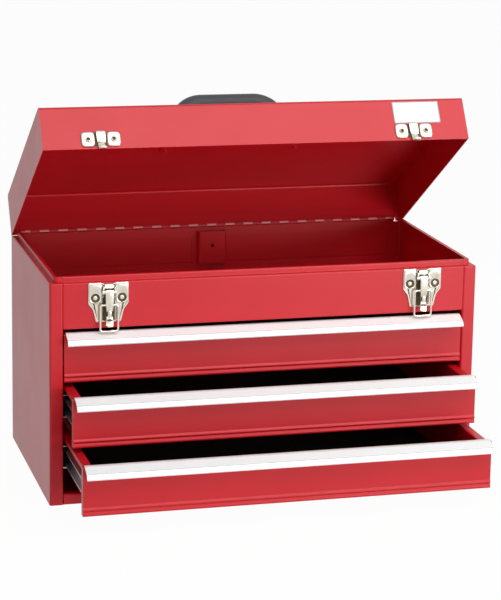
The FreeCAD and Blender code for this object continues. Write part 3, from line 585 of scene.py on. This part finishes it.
# A ring round each rivet on the pads is painted dark as shade.
pad_rings = [(0, -5.7, 2.75, 2.75, 2, -138.75), (0, -5.7, 4.5, 4.5, 2, -138.8), (0, -5.7, 5.3, 5.3, 2, -139.9),
             (0, -5.7, 5.7, 5.7, 2, -140.1), (0, -1.5, 6.5, 9.4, 3.4, -140.2), (0, 0, 7.0, 11.3, 6, -140.1),
             (0, 0, 7.5, 11.8, 6, -139.7), (0, 0, 7.7, 12.0, 6, -138.3)]
pads = [pressed_pad("pad", side * 15.5 * mm, 250.5 * mm, pad_rings, 2) for side in (-1, 1)]
cheeks = []
for side in (-1, 1):
    inner = side * 5.9
    low_x, high_x = sorted((inner, inner + side * 1.2))
    cheeks.append(block("cheek", (low_x * mm, (lever_y - 0.3) * mm, (lever_z - 3.0) * mm),
                        (high_x * mm, -138.2 * mm, (lever_z + 6.0) * mm), 0.3 * mm))
    cheeks.append(barrel("cheek_eye", ((inner + side * 0.6) * mm, lever_y * mm, lever_z * mm), 3.0 * mm, 1.2 * mm, 0.3 * mm))
roof = bent_strip("roof", [(-138.4, 261.4, 5.6), (-139.6, 261.6, 5.6), (-141.6, 260.4, 5.6), (-143.4, 257.9, 5.6),
                           (-143.9, 256.4, 5.4)], 0.9)
latch_plate = joined("latch_plate", [plate] + pads + cheeks + [roof])

# Latch levers
# Each lever is a strap rolled round its pin, with a hollow in its face, a tube behind it
# for the wire, and a tip curled out for a finger.
strap = bent_strip("strap", [(-141.4, 253.2, 5.3), (-142.6, 254.7, 5.3), (-144.4, 254.9, 5.3), (-145.8, 253.6, 5.3),
                             (-146.3, 251.2, 5.3), (-146.4, 246.0, 5.2), (-146.5, 239.5, 4.8), (-146.2, 233.6, 4.3),
                             (-144.9, 229.4, 4.0), (-144.6, 225.6, 3.9), (-145.6, 221.6, 4.0), (-145.4, 217.6, 4.4),
                             (-146.4, 214.2, 4.7), (-148.6, 212.8, 4.2), (-149.8, 213.2, 3.2)], 1.3)
eye = barrel("eye", (0, lever_y * mm, lever_z * mm), 2.6 * mm, 10.6 * mm, 0.3 * mm)
wire_tube = barrel("wire_tube", (0, lever_y * mm, 237 * mm), 2.4 * mm, 9.4 * mm, 0.3 * mm)
# The boss is raised from the strap; the ring round its crown is painted dark as shade.
boss_rings = [(0, 0, 1.3, 2.4, 2, -147.7), (0, 0, 2.0, 3.3, 2, -147.5), (0, 0, 2.4, 3.9, 2, -146.6),
              (0, 0, 2.5, 4.1, 2, -145.9), (0, 0, 3.5, 5.4, 2.4, -145.8), (0, 0, 3.7, 5.8, 2.6, -146.7),
              (0, 0, 3.8, 6.0, 2.6, -145.0)]
boss = pressed_pad("boss", 0, 227.5 * mm, boss_rings, 5)
# The boss's crown goes back to nickel, so only the ring of painted shade stays.
for face in boss.data.polygons:
    from_middle = math.hypot(face.center.x, (face.center.z - 227.5 * mm) * 0.6)
    if from_middle < 2.5 * mm:
        face.material_index = 0
# Below the boss the neck is a shallow dish with its middle painted dark, a painted shadow under the boss.
neck = pressed_pad("neck", 0, 219.8 * mm, [(0, 0, 2.6, 0.9, 2.4, -146.1), (0, 0, 3.1, 1.4, 2.6, -146.2),
                                           (0, 0, 3.3, 1.6, 2.6, -145.4)], 2)
latch_lever = joined("latch_lever", [strap, eye, wire_tube, boss, neck])

for side_name, side in (("left", -1), ("right", 1)):
    clothe(moved_copy(latch_plate, "pressed_latch_plate_" + side_name, side * latch_x), [nickel, painted_shade],
           "nickel_plate", "case", "latch_plate_" + side_name)
    clothe(moved_copy(latch_lever, "rolled_latch_lever_" + side_name, side * latch_x), [nickel, painted_shade],
           "nickel_plate", "latch_" + side_name, "latch_lever_" + side_name)
for pattern in (latch_plate, latch_lever):
    bpy.data.objects.remove(pattern)

# Keepers on the lid
# Each keeper has two pressed pads with hollow rivets, a raised tongue between them, and
# a hook under the tongue that the wire pulls on.
lid_turn = Matrix.Rotation(math.radians(-32.4), 4, "X")
hinge_place = Matrix.Translation((0, 134.3 * mm, 266.0 * mm))
with_lid = hinge_place @ lid_turn @ hinge_place.inverted()
keeper_z = 274.9 * mm
# Round each rivet, the middle of each pad is painted dark as shade.
keeper_rings = [(0, 0, 2.9, 2.9, 2, -138.3), (0, 0, 3.1, 3.1, 2, -139.3), (0, 0, 4.6, 4.8, 2.2, -139.9),
                (0, 0, 6.6, 7.6, 3.2, -140.0), (0, 0, 7.6, 8.6, 4.2, -139.6), (0, 0, 7.9, 9.0, 4.5, -138.9),
                (0, 0, 8.0, 9.1, 4.5, -137.52)]
keeper_pads = [pressed_pad("keeper_pad", side * 15.0 * mm, keeper_z, keeper_rings, 1) for side in (-1, 1)]
web = block("web", (-9 * mm, -138.5 * mm, 267.5 * mm), (9 * mm, -137.52 * mm, 282.5 * mm), 0.3 * mm)
# The web behind the tongue is painted dark, as the shade under the tongue.
web.data.materials[0] = painted_shade
tongue = bent_strip("tongue", [(-138.2, 284.9, 5.9), (-139.8, 285.0, 5.9), (-140.9, 283.4, 5.9), (-141.2, 278.0, 5.9),
                               (-141.3, 273.0, 5.7), (-140.6, 270.4, 5.3), (-139.2, 269.6, 5.0)], 1.1)
hook = bent_strip("hook", [(-138.9, 272.0, 4.2), (-140.0, 267.6, 4.4), (-141.9, 263.6, 4.6), (-144.2, 260.8, 4.7),
                           (-146.6, 259.6, 4.7), (-148.8, 260.3, 4.4), (-149.8, 262.4, 3.6)], 1.2)
keeper = joined("keeper", keeper_pads + [web, tongue, hook])
# The hole in each hollow rivet is painted dark as shade.
rivet_rings = [(0, 0, 2.0, 2.0, 2, -138.4), (0, 0, 2.1, 2.1, 2, -140.0), (0, 0, 2.35, 2.35, 2, -140.4),
               (0, 0, 2.6, 2.6, 2, -140.4), (0, 0, 2.85, 2.85, 2, -140.0), (0, 0, 2.85, 2.85, 2, -138.4)]
rivets = [pressed_pad("hollow_rivet", (side * 189 + way * 15) * mm, keeper_z, rivet_rings, 1)
          for side in (-1, 1) for way in (-1, 1)]
hollow_rivets = joined("hollow_rivets", rivets)
hollow_rivets.data.transform(with_lid)
clothe(hollow_rivets, [pale_nickel, painted_shade], "pin_steel", "lid", "keeper_rivets")
for side_name, side in (("left", -1), ("right", 1)):
    twin = moved_copy(keeper, "pressed_keeper_" + side_name, side * latch_x)
    twin.data.transform(with_lid)
    clothe(twin, [pale_nickel, painted_shade], "nickel_plate", "lid", "keeper_" + side_name)
bpy.data.objects.remove(keeper)

# Piano hinge
# Two leaves rolled round one pin and painted with the chest. The crowns of the knuckles
# that face up and forwards get a pale painted highlight, wide on the case's leaf and a thin line on the lid's.


def paint_with_painted_highlight(name, low, high, highlight_colour):
    """Paint with a pale painted highlight on faces turned towards the crown's direction, between two closenesses to
    it.
    """
    material, tree, shader = surface(name)
    place = tree.nodes.new("ShaderNodeTexCoord")
    crown = tree.nodes.new("ShaderNodeVectorMath")
    crown.operation = "DOT_PRODUCT"
    crown.inputs[1].default_value = (0, -0.60, 0.80)
    highlight_mask = tree.nodes.new("ShaderNodeMapRange")
    highlight_mask.inputs["From Min"].default_value = low
    highlight_mask.inputs["From Max"].default_value = high
    finish = tree.nodes.new("ShaderNodeGroup")
    finish.node_tree = coat
    finish.inputs["Colour"].default_value = paint_red
    finish.inputs["Deep colour"].default_value = paint_deep
    finish.inputs["Gloss"].default_value = 0.40
    finish.inputs["Peel"].default_value = peel_height
    tone = tree.nodes.new("ShaderNodeMix")
    tone.data_type = "RGBA"
    tone.inputs["B"].default_value = highlight_colour
    tree.links.new(place.outputs["Normal"], crown.inputs[0])
    tree.links.new(crown.outputs["Value"], highlight_mask.inputs["Value"])
    tree.links.new(highlight_mask.outputs["Result"], tone.inputs["Factor"])
    tree.links.new(finish.outputs["Colour"], tone.inputs["A"])
    tree.links.new(tone.outputs["Result"], shader.inputs["Base Color"])
    tree.links.new(finish.outputs["Roughness"], shader.inputs["Roughness"])
    tree.links.new(finish.outputs["Normal"], shader.inputs["Normal"])
    return material


# Painted highlights on the knuckles: wide and pale on the case's leaf, a thin line on the lid's.
dress(["hinge_leaf_case"], paint_with_painted_highlight("case_leaf_painted_highlight", 0.66, 0.84, (0.95, 0.62, 0.60, 1)))
dress(["hinge_leaf_lid"], paint_with_painted_highlight("lid_leaf_painted_highlight", 0.97, 0.999, (0.60, 0.20, 0.20, 1)))

# Bare plate on the lid
# A thin white enamelled plate with nothing on it, and a grey line round its edge.
plate_white = coated("white_enamel", (0.84, 0.84, 0.85, 1), (0.78, 0.78, 0.79, 1), 0.30, 0.02, 0.3)
plate_grey = coated("grey_enamel", (0.33, 0.33, 0.36, 1), (0.28, 0.28, 0.31, 1), 0.35, 0.02, 0.3)
bpy.ops.object.select_all(action="DESELECT")
bpy.ops.mesh.primitive_cube_add(size=1, location=(196 * mm, -137.71 * mm, 299 * mm))
bare_plate = bpy.context.object
bare_plate.name = "bare_enamel_plate"
bare_plate.scale = (58 * mm, 0.38 * mm, 28 * mm)
bpy.ops.object.transform_apply(location=True, rotation=True, scale=True)
shaping(bare_plate)
pick(bare_plate, lambda edge: abs(edge.verts[0].co.y - edge.verts[1].co.y) > 0.1 * mm, "edges")
bpy.ops.mesh.bevel(offset=1.2 * mm, segments=4)
pick(bare_plate, lambda face: face.normal.y < -0.9)
bpy.ops.mesh.inset(thickness=0.9 * mm)
bpy.ops.mesh.inset(thickness=0.1 * mm, depth=-0.05 * mm)
bare_plate.data.materials.append(None)
bare_plate.data.materials.append(None)
bare_plate.active_material_index = 1
bpy.ops.object.material_slot_assign()
shaped(bare_plate, 30)
bare_plate.data.transform(with_lid)
clothe(bare_plate, [plate_grey, plate_white], "white_plate", "lid", "label_plate")

# Carrying handle
# A steel bar with a black moulded grip, on saddles screwed through the lid. The screws'
# nuts under the lid are painted with it.
grip_black = coated("black_moulding", (0.060, 0.060, 0.066, 1), (0.045, 0.045, 0.050, 1), 0.55, 0.35, 0.0)
handle_steel = coated("dark_enamel", (0.05, 0.05, 0.055, 1), (0.04, 0.04, 0.044, 1), 0.40, 0.05, 0.2)
dress(by_slot["black_grip"], grip_black)
dress(by_slot["dark_steel"], handle_steel)

screw_finish, screw_tree, screw_shader = surface("part_painted_screws")
screw_place = screw_tree.nodes.new("ShaderNodeTexCoord")
screw_height = screw_tree.nodes.new("ShaderNodeVectorMath")
screw_height.operation = "DOT_PRODUCT"
lid_up = lid_turn @ Vector((0, 0, 1))
lid_top_height = lid_up.dot(with_lid @ Vector((0, 0, 317.0 * mm)))
screw_height.inputs[1].default_value = lid_up
screw_above = screw_tree.nodes.new("ShaderNodeMath")
screw_above.operation = "GREATER_THAN"
screw_above.inputs[1].default_value = lid_top_height
screw_tone = screw_tree.nodes.new("ShaderNodeMix")
screw_tone.data_type = "RGBA"
screw_tone.inputs["A"].default_value = paint_red
screw_tone.inputs["B"].default_value = (0.05, 0.05, 0.055, 1)
screw_shader.inputs["Roughness"].default_value = 0.38
screw_tree.links.new(screw_place.outputs["Object"], screw_height.inputs[0])
screw_tree.links.new(screw_height.outputs["Value"], screw_above.inputs[0])
screw_tree.links.new(screw_above.outputs[0], screw_tone.inputs["Factor"])
screw_tree.links.new(screw_tone.outputs["Result"], screw_shader.inputs["Base Color"])
dress(["handle_screws"], screw_finish)
